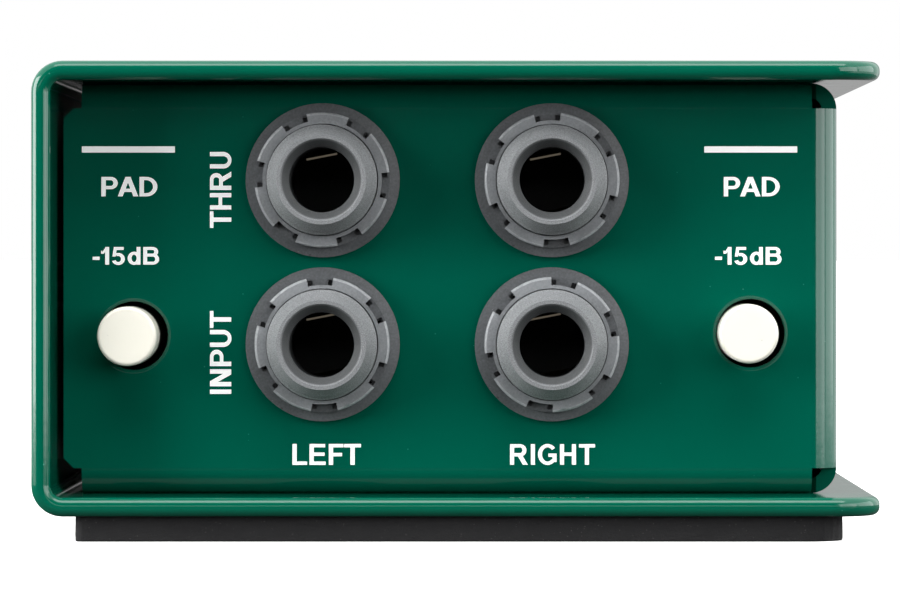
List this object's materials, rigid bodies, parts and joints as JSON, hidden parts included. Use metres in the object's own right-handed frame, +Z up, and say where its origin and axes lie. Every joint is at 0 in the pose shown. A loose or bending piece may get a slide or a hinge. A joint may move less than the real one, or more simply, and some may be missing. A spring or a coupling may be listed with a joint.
{
  "type": "direct injection box",
  "caption": "Stereo passive direct injection box: quarter-inch inputs and throughs with pad switches at one end, balanced outlets at the other, in a folded steel case.",
  "frame": {"origin": "middle of the underside of the no-slip pad", "axes": "+Y from the input end to the output end along the length, +Z up, +X from the closed left side to the open right side seen from the input end"},
  "size_m": [0.084, 0.127, 0.0475],
  "materials": {
    "black_moulding": "glass-filled nylon",
    "black_screw": "black zinc",
    "board_green": "glass-epoxy laminate",
    "bobbin_moulding": "nylon",
    "bright_screw": "nickel plated",
    "can_steel": "mu-metal",
    "capacitor_film": "moulded film capacitor",
    "contact_spring": "plated phosphor bronze",
    "core_steel": "varnished laminations",
    "foam_rubber": "matt closed-cell foam rubber",
    "green_paint": "semi-gloss enamel over steel",
    "green_paint_chassis": "semi-gloss enamel over steel",
    "nut_moulding": "glossy skin of a glass-filled nylon moulding",
    "resistor_film": "lacquered film resistor",
    "spring_steel": "bright spring wire",
    "switch_case": "moulded case",
    "tinned_pin": "tinned",
    "white_cap": "gloss moulding",
    "white_stem": "acetal",
    "winding_tape": "polyester tape",
    "xlr_pin": "silver plated",
    "xlr_shell": "nickel-plated die casting",
    "zinc_steel": "zinc plated"
  },
  "bodies": {
    "chassis": {"board_link_pins": "tinned_pin", "board_screws": "bright_screw", "board_standoffs": "zinc_steel", "bottom_pad": "foam_rubber", "clinch_nuts": "zinc_steel", "cover_screws": "black_screw", "inner_chassis": "green_paint_chassis", "input_board": "board_green", "jack_body_input_left": "black_moulding", "jack_body_input_right": "black_moulding", "jack_body_thru_left": "black_moulding", "jack_body_thru_right": "black_moulding", "jack_contacts_input_left": "contact_spring", "jack_contacts_input_right": "contact_spring", "jack_contacts_thru_left": "contact_spring", "jack_contacts_thru_right": "contact_spring", "jack_nut_input_left": "nut_moulding", "jack_nut_input_right": "nut_moulding", "jack_nut_thru_left": "nut_moulding", "jack_nut_thru_right": "nut_moulding", "lift_capacitors": "capacitor_film", "lift_left_spring": "spring_steel", "lift_left_switch_case": "switch_case", "lift_right_spring": "spring_steel", "lift_right_switch_case": "switch_case", "main_board": "board_green", "outer_cover": "green_paint", "output_board": "board_green", "pad_left_spring": "spring_steel", "pad_left_switch_case": "switch_case", "pad_resistors": "resistor_film", "pad_right_spring": "spring_steel", "pad_right_switch_case": "switch_case", "switch_bases": "switch_case", "switch_terminals": "tinned_pin", "transformer_bobbin_left": "bobbin_moulding", "transformer_bobbin_right": "bobbin_moulding", "transformer_can_left": "can_steel", "transformer_can_right": "can_steel", "transformer_core_left": "core_steel", "transformer_core_right": "core_steel", "transformer_pins": "tinned_pin", "transformer_winding_left": "winding_tape", "transformer_winding_right": "winding_tape", "xlr_housing_left": "xlr_shell", "xlr_housing_right": "xlr_shell", "xlr_insert_left": "black_moulding", "xlr_insert_right": "black_moulding", "xlr_pins_left": "xlr_pin", "xlr_pins_right": "xlr_pin", "xlr_screws": "black_screw"},
    "pad_left_push": {"pad_left_button": "white_cap", "pad_left_plunger": "white_stem"},
    "pad_right_push": {"pad_right_button": "white_cap", "pad_right_plunger": "white_stem"},
    "lift_left_push": {"lift_left_button": "white_cap", "lift_left_plunger": "white_stem"},
    "lift_right_push": {"lift_right_button": "white_cap", "lift_right_plunger": "white_stem"}
  },
  "joints": [
    {"name": "pad_left_press", "type": "slide", "parent": "chassis", "child": "pad_left_push", "axis": [0, 1, 0], "range_m": [0, 0.003], "stiffness_N_per_m": 300, "springref_m": -0.002, "deforming": ["pad_left_spring"]},
    {"name": "pad_right_press", "type": "slide", "parent": "chassis", "child": "pad_right_push", "axis": [0, 1, 0], "range_m": [0, 0.003], "stiffness_N_per_m": 300, "springref_m": -0.002, "deforming": ["pad_right_spring"]},
    {"name": "lift_left_press", "type": "slide", "parent": "chassis", "child": "lift_left_push", "axis": [0, -1, 0], "range_m": [0, 0.003], "stiffness_N_per_m": 300, "springref_m": -0.002, "deforming": ["lift_left_spring"]},
    {"name": "lift_right_press", "type": "slide", "parent": "chassis", "child": "lift_right_push", "axis": [0, -1, 0], "range_m": [0, 0.003], "stiffness_N_per_m": 300, "springref_m": -0.002, "deforming": ["lift_right_spring"]}
  ]
}
